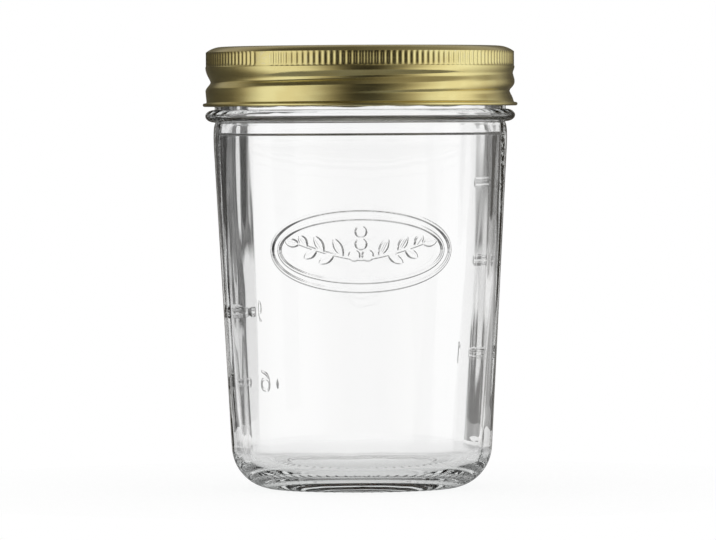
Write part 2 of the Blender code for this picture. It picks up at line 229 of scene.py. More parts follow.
def glass_outline():
    """The glass from the middle of its floor, up the inner wall, over the rim and down to the foot."""
    foot = (FOOT_RADIUS - BODY_WALL, BASE_THICKNESS + FLOOR_ROUND)
    chest = (MOUTH_RADIUS + BORE_STEP, RIM_Z - MOUTH_DEPTH - BORE_STEP_HEIGHT)
    # The plunger leaves the middle of the floor a little sunk.
    sunk = BASE_THICKNESS - FLOOR_SUNK
    points = [(0.0, sunk)] + straight((0.0, sunk), (FLOOR_RING, sunk), pitch=4 * MM)
    for out in (-0.5, 0.0, 0.5, 1.0, FLOOR_EDGE):
        points.append((FLOOR_RING + FLOOR_SUNK * out, sunk + FLOOR_SUNK * smooth(out / FLOOR_EDGE)))
    points += arc((foot[0] - FLOOR_ROUND, foot[1]), (FLOOR_ROUND, FLOOR_ROUND), -90, 0, steps=12)
    for row in range(1, INNER_WALL_ROWS + 1):
        share = row / INNER_WALL_ROWS
        bow = 1.0 - (1.0 - share) ** INNER_BOW
        points.append((foot[0] + (chest[0] - foot[0]) * bow, foot[1] + (chest[1] - foot[1]) * share))
    points.insert(-1, (points[-1][0], points[-1][1] - STEP_GUARD))
    bore = (MOUTH_RADIUS, RIM_Z - MOUTH_DEPTH)
    points += straight(chest, bore, pitch=0.15 * MM) + [bore, (bore[0], bore[1] + STEP_GUARD)]
    points += straight(points[-1], (MOUTH_RADIUS, RIM_Z - RIM_ROUND), pitch=3 * MM)
    rim = (RIM_ROUND, RIM_ROUND)
    points += arc((MOUTH_RADIUS + RIM_ROUND, RIM_Z - RIM_ROUND), rim, 180, 90, steps=5)
    points += arc((NECK_RADIUS - RIM_ROUND, RIM_Z - RIM_ROUND), rim, 90, 0, steps=5)
    points += straight(points[-1], (NECK_RADIUS, BEAD_TOP), pitch=0.5 * MM)
    bead_z = (BEAD_TOP + BEAD_BOTTOM) / 2
    points += arc((NECK_RADIUS, bead_z), (BEAD_PROUD, BEAD_HEIGHT / 2), 90, -90, steps=18)
    points.append((NECK_RADIUS - BEAD_GROOVE, SHOULDER_TOP))
    round_r = SHOULDER_PROUD + BEAD_GROOVE
    # The oval shoulder ends where it has the slope of the tapered wall.
    lean = math.atan2(BODY_TAPER, WIDEST_Z - HEEL_RADIUS)
    meets = math.atan(math.tan(lean) * SHOULDER_DROP / round_r)
    end_z = WIDEST_Z - SHOULDER_DROP * math.sin(meets)
    centre_r = body_radius(end_z) - round_r * math.cos(meets)
    shoulder = (round_r, SHOULDER_DROP)
    points += arc((centre_r, WIDEST_Z), shoulder, SHOULDER_FROM, -math.degrees(meets), steps=10)
    heel = (HEEL_RADIUS, HEEL_RADIUS)
    heel_arc = arc((BEARING_RADIUS, HEEL_RADIUS), heel, -math.degrees(lean), -90, steps=18)
    points += straight(points[-1], heel_arc[0], pitch=1.25 * MM) + heel_arc
    inner = BEARING_RADIUS - BEARING_WIDTH
    points += straight(points[-1], (inner, 0.0), pitch=0.7 * MM)
    return points + arc((0.0, 0.0), (inner, PUSH_UP_HEIGHT), 0, 90, steps=9)


def ridge_height(angle, z):
    """How far the thread stands out of the neck at one place."""
    highest = 0.0
    for turns in (-1, 0, 1):
        along = angle + turns * math.tau
        offset = z - GROOVE_Z - THREAD_PITCH * (along / math.tau + RIDGE_ABOVE_GROOVE_SHARE)
        if abs(offset) < RIDGE_HALF_WIDTH:
            ends = smooth((along - RIDGE_FROM) / RIDGE_FADE) * smooth((RIDGE_TO - along) / RIDGE_FADE)
            crown = math.cos(math.pi / 2 * offset / RIDGE_HALF_WIDTH) ** 2
            highest = max(highest, ends * crown)
    return RIDGE_HEIGHT * highest


# The raised ornament on the front, and the measuring marks on the back

LINE_HEIGHT = 0.45 * MM
LINE_HALF = 0.65 * MM
LINE_FULLNESS = 1.5  # 1 is a rounded line, and more is one with a flat top
CARTOUCHE_Z = 69.2 * MM
CARTOUCHE_HALF = (27.0 * MM, 11.5 * MM)
CARTOUCHE_INSET = 2.5 * MM  # from the outer line in to the second one
REFINED_SHARE = 1.1  # of the cartouche's size, for the oval that gets the fine mesh
REFINED_EDGE = 1.0 * MM  # how far the fine mesh reaches round a mark
REFINED_CUTS = 4
STEM_HALF = 0.45 * MM
STEM_LOW, STEM_RISE, STEM_REACH = -2.6 * MM, 4.4 * MM, 18.0 * MM
STEM_CURVE = 1.4  # power of the stem's rise: 1 is straight
LEAF_HALF = 1.35 * MM
LEAF_EDGE = 0.5 * MM
LEAF_FULLNESS = 0.8  # power of a leaf's outline: less is fuller
VEIN_SHARE = 0.5  # of a leaf's height, that its vein is sunk
# Each leaf's root along the stem, its direction in degrees, and its length
LEAVES = [(5.0 * MM, 62, 6.2 * MM), (7.5 * MM, -28, 5.4 * MM), (10.5 * MM, 58, 5.6 * MM),
          (12.5 * MM, -30, 4.8 * MM), (15.5 * MM, 52, 4.2 * MM), (17.6 * MM, 8, 5.2 * MM)]
BERRY_RADIUS = 1.75 * MM
BERRY_HEIGHT = 1.3 * LINE_HEIGHT
BERRIES = [(0.0, 1.7 * MM), (1.9 * MM, -1.5 * MM), (0.0, 5.2 * MM)]

MARK_HEIGHT = 0.2 * MM
MARK_LINE_HALF = 0.4 * MM
BAR_HALF = (6.5 * MM, 0.95 * MM)
DIGIT_SIZE = (3.4 * MM, 5.8 * MM)
DIGIT_OFFSET = 13.5 * MM  # from the middle of a bar to the middle of its digit
LEFT_MARKS_AT, RIGHT_MARKS_AT = math.radians(162), math.radians(18)
# Each mark's height over the foot, and its digit where it has one
LEFT_MARKS = [(29.4 * MM, "6"), (50.1 * MM, "9")]
RIGHT_MARKS = [(37.7 * MM, "1"), (65.2 * MM, ""), (88.3 * MM, "")]
# The lines of each digit in a box of 1 by 1, as rows of points
DIGITS = {
    "": [],
    "1": [[(0.25, 0.78), (0.55, 1.0), (0.55, 0.0)]],
    "6": [arc((0.5, 0.3), (0.5, 0.3), 0, 360, 14), arc((0.9, 0.3), (0.9, 0.7), 100, 180, 7)],
    "9": [arc((0.5, 0.7), (0.5, 0.3), 0, 360, 14), arc((0.1, 0.7), (0.9, 0.7), 280, 360, 7)],
}

# What the mould and the plunger leave in the glass
WAVE = 0.05 * MM
# Upright swells of the inner wall: how many go round, their share, where they start, and their twist
SWELLS = [(9, 1.0, 0.8, 4), (17, 0.7, 2.1, -5), (31, 0.5, 0.4, 3), (47, 0.25, 1.3, -9)]
SWELLS_RISE = 8 * MM  # height over the floor at which they are whole
SWELLS_FALL = 10 * MM  # stretch over which they end again
SWELLS_END = 6 * MM  # and how far under the rim that is
SEAM_HEIGHT = 0.05 * MM
SEAM_HALF = 1.0 * MM
STIPPLES = 60
STIPPLE_DEPTH = 0.4 * MM
STIPPLE_REACH = 2 * MM  # out from the bearing ring
FOOT_FACE = 0.4 * MM  # height under which a point belongs to the foot's face
SKIN = 1.0 * MM  # depth of the layer that moves with the outside of the glass
RELIEF_END = WIDEST_Z - 2 * MM


def line_height(distance, half, height):
    """A raised line with rounded shoulders, at a distance from its middle."""
    return height * smooth(LINE_FULLNESS * (1.0 - abs(distance) / half))


def oval_distance(u, v, half):
    """About how far a place lies outside an oval."""
    share = math.hypot(u / half[0], v / half[1])
    slope = math.hypot(u / half[0] ** 2, v / half[1] ** 2) / max(share, 0.01)
    return (share - 1.0) / max(slope, 1.0)


def stem_height(u):
    """Where the stem lies, at a place along it."""
    return STEM_LOW + STEM_RISE * (u / STEM_REACH) ** STEM_CURVE


def leaf_height(u, v, root, degrees, length):
    """A pointed leaf with a sunk vein, from its root outwards."""
    away = math.radians(degrees)
    from_u, from_v = u - root, v - stem_height(root)
    along = from_u * math.cos(away) + from_v * math.sin(away)
    across = abs(from_v * math.cos(away) - from_u * math.sin(away))
    if not 0.0 < along < length:
        return 0.0
    half = LEAF_HALF * math.sin(math.pi * along / length) ** LEAF_FULLNESS
    vein = VEIN_SHARE * (1.0 - smooth(across / LEAF_EDGE))
    return LINE_HEIGHT * smooth((half - across) / LEAF_EDGE) * (1.0 - vein)


def sprig_height(u, v):
    """Two mirrored twigs with leaves, and berries where they meet."""
    u = abs(u)
    highest = 0.0
    if u < STEM_REACH:
        highest = line_height(v - stem_height(u), STEM_HALF, LINE_HEIGHT)
    for root, degrees, length in LEAVES:
        highest = max(highest, leaf_height(u, v, root, degrees, length))
    for berry_u, berry_v in BERRIES:
        share = math.hypot(u - berry_u, v - berry_v) / BERRY_RADIUS
        if share < 1.0:
            highest = max(highest, BERRY_HEIGHT * math.sqrt(1.0 - share**2))
    return highest


def cartouche_height(u, v):
    """How far the cartouche's two lines and its sprig stand out at one place."""
    outer = line_height(oval_distance(u, v, CARTOUCHE_HALF), LINE_HALF, LINE_HEIGHT)
    inner_half = [half - CARTOUCHE_INSET for half in CARTOUCHE_HALF]
    inner = line_height(oval_distance(u, v, inner_half), LINE_HALF, LINE_HEIGHT)
    return max(outer, inner, sprig_height(u, v))


def digit_lines(digit, middle):
    """The lines of a digit as pairs of places, centred on a place beside its bar."""
    lines = []
    for stroke in DIGITS[digit]:
        places = [(middle + (u - 0.5) * DIGIT_SIZE[0], (v - 0.5) * DIGIT_SIZE[1]) for u, v in stroke]
        lines += zip(places, places[1:])
    return lines


def line_distance(u, v, line):
    """How far a place lies from a line between two others."""
    (u0, v0), (u1, v1) = line
    reach = (u1 - u0) ** 2 + (v1 - v0) ** 2
    share = min(max(((u - u0) * (u1 - u0) + (v - v0) * (v1 - v0)) / reach, 0.0), 1.0)
    return math.hypot(u - u0 - share * (u1 - u0), v - v0 - share * (v1 - v0))


def bar_distance(u, v):
    """How far a place lies from the outline of the long rounded bar of a mark."""
    core = BAR_HALF[0] - BAR_HALF[1]
    return math.hypot(max(abs(u) - core, 0.0), v) - BAR_HALF[1]


def all_marks():
    """Each mark's angle and height, its digit's lines, and the lines' places round the glass."""
    marks = []
    for at, side, rows in ((LEFT_MARKS_AT, -1, LEFT_MARKS), (RIGHT_MARKS_AT, 1, RIGHT_MARKS)):
        for z, digit in rows:
            lines = digit_lines(digit, side * DIGIT_OFFSET)
            marks.append((at, z, lines, [0.0] + [u for line in lines for u, v in line]))
    return marks


def mark_place(angle, z, mark):
    """A place on the glass as seen from a mark: round the glass and up."""
    at, mark_z = mark[:2]
    return math.remainder(angle - at, math.tau) * body_radius(z), z - mark_z


def near_mark(angle, z, mark):
    """Whether a place lies by a mark's bar or its digit."""
    u, v = mark_place(angle, z, mark)
    if abs(u) < BAR_HALF[0] + REFINED_EDGE and abs(v) < BAR_HALF[1] + REFINED_EDGE:
        return True
    lines, span = mark[2:]
    beside = min(span) - REFINED_EDGE < u < max(span) + REFINED_EDGE
    return bool(lines) and beside and abs(v) < DIGIT_SIZE[1] / 2 + REFINED_EDGE


def mark_height(angle, z, mark):
    """How far a mark's bar or digit stands out at one place."""
    u, v = mark_place(angle, z, mark)
    nearest = min([abs(bar_distance(u, v))] + [line_distance(u, v, line) for line in mark[2]])
    return line_height(nearest, MARK_LINE_HALF, MARK_HEIGHT)


def front_place(angle, z):
    """A place on the glass as seen from the cartouche: round the glass and up."""
    return math.remainder(angle + math.pi / 2, math.tau) * body_radius(z), z - CARTOUCHE_Z


def by_cartouche(angle, z):
    """Whether a place lies on the cartouche or close to it."""
    u, v = front_place(angle, z)
    return math.hypot(u / CARTOUCHE_HALF[0], v / CARTOUCHE_HALF[1]) < REFINED_SHARE


def inner_wave(angle, z):
    """The unevenness of the inner wall, in long upright swells."""
    swell = 0.0
    for count, share, start, twist in SWELLS:
        swell += share * math.sin(count * angle + start + twist * z / RIM_Z)
    ends = smooth((z - BASE_THICKNESS) / SWELLS_RISE) * smooth((RIM_Z - SWELLS_END - z) / SWELLS_FALL)
    return WAVE * swell * ends


def refine(piece, chosen, cuts):
    """Subdivides the faces that a test picks by the place of their middle."""
    bpy.ops.object.select_all(action="DESELECT")
    piece.select_set(True)
    bpy.context.view_layer.objects.active = piece
    bpy.context.tool_settings.mesh_select_mode = (False, False, True)
    bpy.ops.object.mode_set(mode="EDIT")
    bpy.ops.mesh.select_all(action="DESELECT")
    bpy.ops.object.mode_set(mode="OBJECT")
    for face in piece.data.polygons:
        face.select = chosen(face.center)
    bpy.ops.object.mode_set(mode="EDIT")
    bpy.ops.mesh.subdivide(number_cuts=cuts)
    bpy.ops.object.mode_set(mode="OBJECT")
    bpy.context.tool_settings.mesh_select_mode = (True, False, False)


def glass_jar(glass):
    """The pressed jar: a turned body with its thread, ornament, marks, seams and uneven inner wall."""
    jar = turn("jar_glass", glass_outline(), GLASS_COLUMNS)
    jar.data.materials.append(glass)
    marks = all_marks()

    def on_wall(x, y, z):
        return HEEL_RADIUS < z < RELIEF_END and math.hypot(x, y) > body_radius(z) - SKIN

    def needs_detail(middle):
        x, y, z = middle
        angle = math.atan2(y, x)
        by_mark = any(near_mark(angle, z, mark) for mark in marks)
        return on_wall(x, y, z) and (by_cartouche(angle, z) or by_mark)

    refine(jar, needs_detail, REFINED_CUTS)
    foot_in, foot_out = BEARING_RADIUS - BEARING_WIDTH, BEARING_RADIUS + STIPPLE_REACH
    for vertex in jar.data.vertices:
        x, y, z = vertex.co
        radius = math.hypot(x, y)
        angle = math.atan2(y, x)
        new_radius = radius
        if radius > NECK_RADIUS - SKIN and BEAD_TOP < z < RIM_Z - RIM_ROUND:
            new_radius += ridge_height(angle, z)
        elif on_wall(x, y, z):
            heights = [mark_height(angle, z, mark) for mark in marks if near_mark(angle, z, mark)]
            heights.append(SEAM_HEIGHT * smooth(1.0 - abs(y) / SEAM_HALF))
            if by_cartouche(angle, z):
                heights.append(cartouche_height(*front_place(angle, z)))
            new_radius = body_radius(z) + max(heights)
        elif BASE_THICKNESS < z < RIM_Z and radius < outer_radius(min(z, WIDEST_Z)) - BODY_WALL / 2:
            new_radius += inner_wave(angle, z)
        elif z < FOOT_FACE and foot_in < radius < foot_out:
            z += STIPPLE_DEPTH * (0.5 - 0.5 * math.cos(STIPPLES * angle))
        if radius > 0.0:
            vertex.co = (x * new_radius / radius, y * new_radius / radius, z)
    smoothed(jar, angle=80)
    return jar


# Screw band


def rounded_reach(reach):
    """Rounds off the bottom of a groove, and still gives 1 where its flank ends."""
    return (math.hypot(reach, GROOVE_ROUND) - GROOVE_ROUND) / (math.hypot(1.0, GROOVE_ROUND) - GROOVE_ROUND)


def groove_depth(angle, z):
    """How far the rolled thread goes into the band's sheet at one place."""
    deepest = 0.0
    for turns in (-1, 0, 1):
        along = angle + turns * math.tau
        bottom = GROOVE_Z + THREAD_PITCH * along / math.tau
        # The first turn lies between the crest and the skirt, the second between knurl and crest.
        second = smooth((along - FLANK_FROM) / FLANK_OVER)
        upper = THREAD_PITCH * CREST_FLANK_SHARE * (1.0 - second) + (KNURL_BOTTOM - bottom) * second
        lower = THREAD_PITCH * (OPEN_FLANK_SHARE + (STEEP_FLANK_SHARE - OPEN_FLANK_SHARE) * second)
        reach = (z - bottom) / upper if z > bottom else (bottom - z) / lower
        bow = GROOVE_BOWS[0] if z > bottom else GROOVE_BOWS[1]
        if upper > 0.0 and reach < 1.0:
            ends = smooth((along - GROOVE_FROM) / GROOVE_FADE) * smooth((GROOVE_TO - along) / GROOVE_FADE)
            deepest = max(deepest, ends * (1.0 - rounded_reach(reach)) ** bow)
    return GROOVE_DEPTH * deepest


def band_outline():
    """The outer face of the band's sheet, from its lip down to the rolled hem at its lower edge."""
    start = math.radians(BAND_CORNER_FROM)
    corner = (BAND_CORNER_WIDTH / math.cos(start), BAND_CORNER_HEIGHT / (1.0 - math.sin(start)))
    centre = (KNURL_RADIUS - BAND_CORNER_WIDTH, BAND_TOP - corner[1])
    points = [(BAND_RADIUS - BAND_LIP_WIDTH, BAND_TOP)]
    points += arc(centre, corner, 90, BAND_CORNER_FROM + 1, steps=8)
    # A last narrow face keeps the corner's shading off the knurl.
    points.append((KNURL_RADIUS, KNURL_TOP))
    points += straight(points[-1], (KNURL_RADIUS, KNURL_BOTTOM), pitch=0.4 * MM)
    points.append((KNURL_RADIUS, KNURL_BOTTOM))
    top = KNURL_BOTTOM - KNURL_SET_IN
    for row in range(SKIRT_ROWS + 1):
        z = top + (SKIRT_END - top) * row / SKIRT_ROWS
        below = smooth((BAND_BOTTOM + SKIRT_HEIGHT - z) / SKIRT_HEIGHT)
        points.append((BAND_RADIUS - SKIRT_TAPER * below, z))
    skirt_r = points[-1][0]
    points += [(skirt_r + out, BAND_BOTTOM + up) for out, up in HEM_BEND]
    hem = (BAND_HIGH.x - HEM_RADIUS, BAND_BOTTOM + HEM_RADIUS)
    points += arc(hem, (HEM_RADIUS, HEM_RADIUS), 85, -90, steps=9)
    return points + [(skirt_r + HEM_END[0], BAND_BOTTOM + HEM_END[1])]


def knurl_depth(angle, z):
    """How far the knurl goes into the band's edge at one place."""
    ends = smooth((TEETH_END - z) / KNURL_END) * smooth((z - KNURL_BOTTOM) / KNURL_END)
    from_gap = abs(math.remainder(angle - PLAIN_GAP_AT, math.tau))
    rolled = smooth((from_gap - PLAIN_GAP_HALF) / PLAIN_GAP_FADE)
    return KNURL_DEPTH * ends * rolled * (0.5 - 0.5 * math.cos(angle * TEETH))


def screw_band(outside, inside):
    """The band: a turned sheet with its knurl and its rolled thread pressed in."""
    band = turn("band_sheet", band_outline(), BAND_COLUMNS)
    for vertex in band.data.vertices:
        x, y, z = vertex.co
        radius = math.hypot(x, y)
        angle = math.atan2(y, x)
        inward = 0.0
        if KNURL_BOTTOM <= z <= TEETH_END:
            inward = knurl_depth(angle, z)
        elif GROOVES_END < z < KNURL_BOTTOM:
            inward = groove_depth(angle, z)
        vertex.co = (x * (1.0 - inward / radius), y * (1.0 - inward / radius), z)
    sheet_wall(band, outside, inside)
    smoothed(band, angle=60)
    return band


# Lid disc and its seal

CHANNEL_IN = 0.1 * MM  # of the channel's inner edge from the jar's bore
CHANNEL_SLOPE = 2.0 * MM
MOAT_WIDTH = 2.6 * MM
MOAT_DEPTH = 1.2 * MM
PANEL_RISE = 0.55 * MM
PANEL_CROWN = 0.25 * MM
PANEL_STEP = 1.2 * MM
DISC_EDGE_ROUND = 0.5 * MM
ROUNDED_SHARE = 0.45  # of a side, that one rounded corner may take at most
CROWN_STEPS = 8
SEAL_CORNER = 0.2 * MM
SEAL_OVER_RIM = 0.5 * MM  # of its inner edge from the jar's bore


def rounded(points, radius, steps):
    """A line of (r, z) points whose inner corners are rounded off."""
    eased = [points[0]]
    for before, corner, after in zip(points, points[1:], points[2:]):
        corner = Vector(corner)
        sides = [Vector(end) - corner for end in (before, after)]
        start, end = (corner + side.normalized() * min(radius, ROUNDED_SHARE * side.length) for side in sides)
        for i in range(steps + 1):
            share = i / steps
            near, far = 1 - share, share
            eased.append(tuple(start * near**2 + corner * 2 * near * far + end * far**2))
    return eased + [points[-1]]


def lid_disc(outside, inside):
    """The lid disc: a panel with a low crown, a moat round it, and the flat ring over the seal."""
    radius, top = DISC_HIGH.x, DISC_HIGH.z
    channel_r = MOUTH_RADIUS - CHANNEL_IN
    moat_r = channel_r - CHANNEL_SLOPE
    moat_z = top - MOAT_DEPTH
    panel_r = moat_r - MOAT_WIDTH - PANEL_STEP
    panel_z = moat_z + PANEL_RISE
    shares = [i / CROWN_STEPS for i in range(CROWN_STEPS)]
    crown = [(panel_r * s, panel_z + PANEL_CROWN * (1.0 - s**2)) for s in shares]
    bends = [(panel_r, panel_z), (moat_r - MOAT_WIDTH, moat_z), (moat_r, moat_z), (channel_r, top),
             (radius, top), (radius, DISC_LOW.z)]
    outline = crown + rounded([crown[-1]] + bends, DISC_EDGE_ROUND, steps=5)[1:]
    disc = turn("lid_sheet", outline, GLASS_COLUMNS)
    sheet_wall(disc, outside, inside)
    smoothed(disc, angle=50)
    return disc


def sealing_ring(compound):
    """The ring of compound that was flowed in under the disc's edge."""
    left, right = MOUTH_RADIUS + SEAL_OVER_RIM + SEAL_CORNER, SEAL_HIGH.x - SEAL_CORNER
    low, high = SEAL_LOW.z + SEAL_CORNER, SEAL_HIGH.z - SEAL_CORNER
    outline = []
    for centre, start in (((left, high), 180), ((right, high), 90), ((right, low), 0), ((left, low), -90)):
        outline += arc(centre, (SEAL_CORNER, SEAL_CORNER), start, start - 90, steps=4)
    ring = turn("seal_compound", outline + outline[:1], GLASS_COLUMNS)
    ring.data.materials.append(compound)
    smoothed(ring, angle=60)
    return ring


# Materials

COLOURS = {"data_type": "RGBA"}
SHARE, UNDER, OVER = 0, 6, 7  # sockets of a Mix node for colours
SOFTLY = {"interpolation_type": "SMOOTHSTEP"}
NOISE_SPAN = {"From Min": 0.35, "From Max": 0.65}  # most of a noise lies between these
CREST_DEPTH = 0.08 * MM  # of the part of a tooth that hands rub


def colour(code):
    """A colour written as sRGB hex, in the linear values that the nodes take."""
    shares = [int(code[i : i + 2], 16) / 255 for i in (0, 2, 4)]
    linear = [s / 12.92 if s <= 0.04045 else ((s + 0.055) / 1.055) ** 2.4 for s in shares]
    return (*linear, 1.0)


def add(tree, kind, settings=None, inputs=None):
    """Adds a node with its settings, and gives its inputs a value, a socket or another node's result."""
    made = tree.nodes.new(kind)
    for name, value in (settings or {}).items():
        setattr(made, name, value)
    for key, value in (inputs or {}).items():
        if isinstance(value, bpy.types.Node):
            value = next(socket for socket in value.outputs if socket.enabled)
        if isinstance(value, bpy.types.NodeSocket):
            tree.links.new(value, made.inputs[key])
        else:
            made.inputs[key].default_value = value
    return made


def blank_material(name):
    """A new material without nodes, and its tree."""
    material = bpy.data.materials.new(name)
    material.use_nodes = True
    material.node_tree.nodes.clear()
    return material, material.node_tree


def grain(tree, sizes, detail):
    """A pattern from 0 to 1 whose spots have these sizes along X, Y and Z."""
    place = add(tree, "ShaderNodeTexCoord")
    scale = [1.0 / size for size in sizes]
    fitted = add(tree, "ShaderNodeMapping", inputs={"Vector": place.outputs["Object"], "Scale": scale})
    return add(tree, "ShaderNodeTexNoise", inputs={"Vector": fitted, "Scale": 1.0, "Detail": detail})


def soda_lime_glass():
    """Pressed soda-lime glass: clear with a faint grey-green in its depth, and a fire-polished skin with
    slight swells, so that what it mirrors and bends is never quite even."""
    material, tree = blank_material("soda_lime_glass_fire_polished")
    swells = grain(tree, (9 * MM, 9 * MM, 16 * MM), 1.0)
    skin = add(tree, "ShaderNodeBump", inputs={"Height": swells, "Strength": 0.3, "Distance": 0.12 * MM})
    body = add(tree, "ShaderNodeBsdfPrincipled", inputs={
        "Base Color": colour("FFFFFF"),
        "Roughness": 0.0,
        "IOR": 1.52,
        "Transmission Weight": 1.0,
        "Normal": skin,
    })
    # A plain tint for shadows and soft light, which bent light would leave too dark.
    path = add(tree, "ShaderNodeLightPath")
    clear = add(tree, "ShaderNodeBsdfTransparent", inputs={"Color": colour("F4F6F5")})
    passing = add(tree, "ShaderNodeMath", {"operation": "MAXIMUM"},
                  {0: path.outputs["Is Shadow Ray"], 1: path.outputs["Is Diffuse Ray"]})
    surface = add(tree, "ShaderNodeMixShader", inputs={0: passing, 1: body, 2: clear})
    depth = add(tree, "ShaderNodeVolumeAbsorption", inputs={"Color": colour("B8BFBC"), "Density": 6.0})
    add(tree, "ShaderNodeOutputMaterial", inputs={"Surface": surface, "Volume": depth})
    return material


def gold_lacquered_band_tinplate():
    """Rolled tinplate under a clear gold lacquer: streaks that run round the band, lacquer of uneven depth,
    and grey tin where the teeth of the knurled edge have lost it."""
    material, tree = blank_material("gold_lacquered_band_tinplate")
    # Real rolling grain is about 0.1 mm wide. It is drawn coarser here, so that it shows.
    streaks = grain(tree, (26 * MM, 26 * MM, 0.7 * MM), 3.0)
    clouds = grain(tree, (11 * MM, 11 * MM, 7 * MM), 2.0)
    deep = add(tree, "ShaderNodeMapRange", SOFTLY, {**NOISE_SPAN, "Value": clouds})
    lacquer = add(tree, "ShaderNodeMix", COLOURS,
                  {SHARE: deep, UNDER: colour("EEE3A2"), OVER: colour("E6D794")})
    place = add(tree, "ShaderNodeTexCoord")
    axes = add(tree, "ShaderNodeSeparateXYZ", inputs={0: place.outputs["Object"]})
    flat = add(tree, "ShaderNodeCombineXYZ", inputs={"X": axes.outputs["X"], "Y": axes.outputs["Y"]})
    radius = add(tree, "ShaderNodeVectorMath", {"operation": "LENGTH"}, {0: flat})
    crests = add(tree, "ShaderNodeMapRange", SOFTLY,
                 {"Value": radius, "From Min": KNURL_RADIUS - CREST_DEPTH, "From Max": KNURL_RADIUS})
    teeth = add(tree, "ShaderNodeMapRange", SOFTLY, {
        "Value": axes.outputs["Z"], "From Min": KNURL_BOTTOM, "From Max": KNURL_BOTTOM + KNURL_END})
    on_crests = add(tree, "ShaderNodeMath", {"operation": "MULTIPLY"}, {0: crests, 1: teeth})
    scuffs = grain(tree, (2.5 * MM, 2.5 * MM, 1.5 * MM), 3.0)
    rubbed = add(tree, "ShaderNodeMapRange", SOFTLY,
                 {"Value": scuffs, "From Min": 0.45, "From Max": 0.7, "To Max": 0.35})
    worn = add(tree, "ShaderNodeMath", {"operation": "MULTIPLY"}, {0: on_crests, 1: rubbed})
    cloudy = add(tree, "ShaderNodeBump", inputs={"Height": clouds, "Strength": 0.3, "Distance": 0.1 * MM})
    skin = add(tree, "ShaderNodeBump", inputs={
        "Height": streaks, "Strength": 0.35, "Distance": 0.03 * MM, "Normal": cloudy})
    shader = add(tree, "ShaderNodeBsdfPrincipled", inputs={
        "Base Color": add(tree, "ShaderNodeMix", COLOURS,
                          {SHARE: worn, UNDER: lacquer, OVER: colour("D9D6CB")}),
        "Metallic": 1.0,
        "Roughness": add(tree, "ShaderNodeMapRange", SOFTLY,
                         {**NOISE_SPAN, "Value": streaks, "To Min": 0.14, "To Max": 0.22}),
        "Coat Weight": 0.3,
        "Coat Roughness": 0.1,
        "Normal": skin,
    })
    add(tree, "ShaderNodeOutputMaterial", inputs={"Surface": shader})
    return material


def gold_lacquered_lid_tinplate():
    """The same lacquered sheet pressed flat: its rolling grain runs straight across the disc."""
    material, tree = blank_material("gold_lacquered_lid_tinplate")
    # The grain is drawn coarser than the real one, so that it shows.
    lines = grain(tree, (18 * MM, 0.5 * MM, 18 * MM), 3.0)
    clouds = grain(tree, (14 * MM, 14 * MM, 14 * MM), 2.0)
    deep = add(tree, "ShaderNodeMapRange", SOFTLY, {**NOISE_SPAN, "Value": clouds})
    cloudy = add(tree, "ShaderNodeBump", inputs={"Height": clouds, "Strength": 0.25, "Distance": 0.15 * MM})
    skin = add(tree, "ShaderNodeBump", inputs={
        "Height": lines, "Strength": 0.3, "Distance": 0.02 * MM, "Normal": cloudy})
    shader = add(tree, "ShaderNodeBsdfPrincipled", inputs={
        "Base Color": add(tree, "ShaderNodeMix", COLOURS,
                          {SHARE: deep, UNDER: colour("E9DDA0"), OVER: colour("DDCE8E")}),
        "Metallic": 1.0,
        "Roughness": add(tree, "ShaderNodeMapRange", SOFTLY,
                         {**NOISE_SPAN, "Value": lines, "To Min": 0.2, "To Max": 0.3}),
        "Coat Weight": 0.3,
        "Coat Roughness": 0.12,
        "Normal": skin,
    })
    add(tree, "ShaderNodeOutputMaterial", inputs={"Surface": shader})
    return material


def bare_tinplate_with_painted_shade():
    """The unlacquered inside of the sheet: satin-finished tin with dull patches, its grey darkened well below
    bare tin's as painted shade for the shadow inside the lid and the band.
    """
    material, tree = blank_material("bare_tinplate_with_painted_shade")
    patches = grain(tree, (6 * MM, 6 * MM, 6 * MM), 4.0)
    # The grain is drawn coarser than the real one, so that it shows.
    fine = grain(tree, (8 * MM, 8 * MM, 0.4 * MM), 2.0)
    dull = add(tree, "ShaderNodeMapRange", SOFTLY, {**NOISE_SPAN, "Value": patches})
    skin = add(tree, "ShaderNodeBump", inputs={"Height": fine, "Strength": 0.3, "Distance": 0.02 * MM})
    # These dark greys are painted shade: bare tin is far brighter, and is darkened here for the shadow inside
    # the lid and band.
    shader = add(tree, "ShaderNodeBsdfPrincipled", inputs={
        "Base Color": add(tree, "ShaderNodeMix", COLOURS,
                          {SHARE: dull, UNDER: colour("85837A"), OVER: colour("737168")}),
        "Metallic": 1.0,
        "Roughness": add(tree, "ShaderNodeMapRange", SOFTLY,
                         {**NOISE_SPAN, "Value": patches, "To Min": 0.28, "To Max": 0.42}),
        "Normal": skin,
    })
    add(tree, "ShaderNodeOutputMaterial", inputs={"Surface": shader})
    return material


def plastisol():
    """Red-brown sealing compound, flowed in and cured: dull, slightly rubbery, with fine pits."""
    material, tree = blank_material("plastisol_sealing_compound")
    # Real pits are about 0.1 mm across. They are drawn coarser here, so that they show.
    pits = grain(tree, (0.5 * MM, 0.5 * MM, 0.5 * MM), 2.0)
    clouds = grain(tree, (7 * MM, 7 * MM, 7 * MM), 2.0)
    deep = add(tree, "ShaderNodeMapRange", SOFTLY, {**NOISE_SPAN, "Value": clouds})
    skin = add(tree, "ShaderNodeBump", inputs={"Height": pits, "Strength": 0.3, "Distance": 0.05 * MM})
    shader = add(tree, "ShaderNodeBsdfPrincipled", inputs={
        "Base Color": add(tree, "ShaderNodeMix", COLOURS,
                          {SHARE: deep, UNDER: colour("8A4A35"), OVER: colour("7A3E2C")}),
        "Roughness": add(tree, "ShaderNodeMapRange", SOFTLY,
                         {**NOISE_SPAN, "Value": pits, "To Min": 0.42, "To Max": 0.55}),
        "Normal": skin,
    })
    add(tree, "ShaderNodeOutputMaterial", inputs={"Surface": shader})
    return material


# Studio

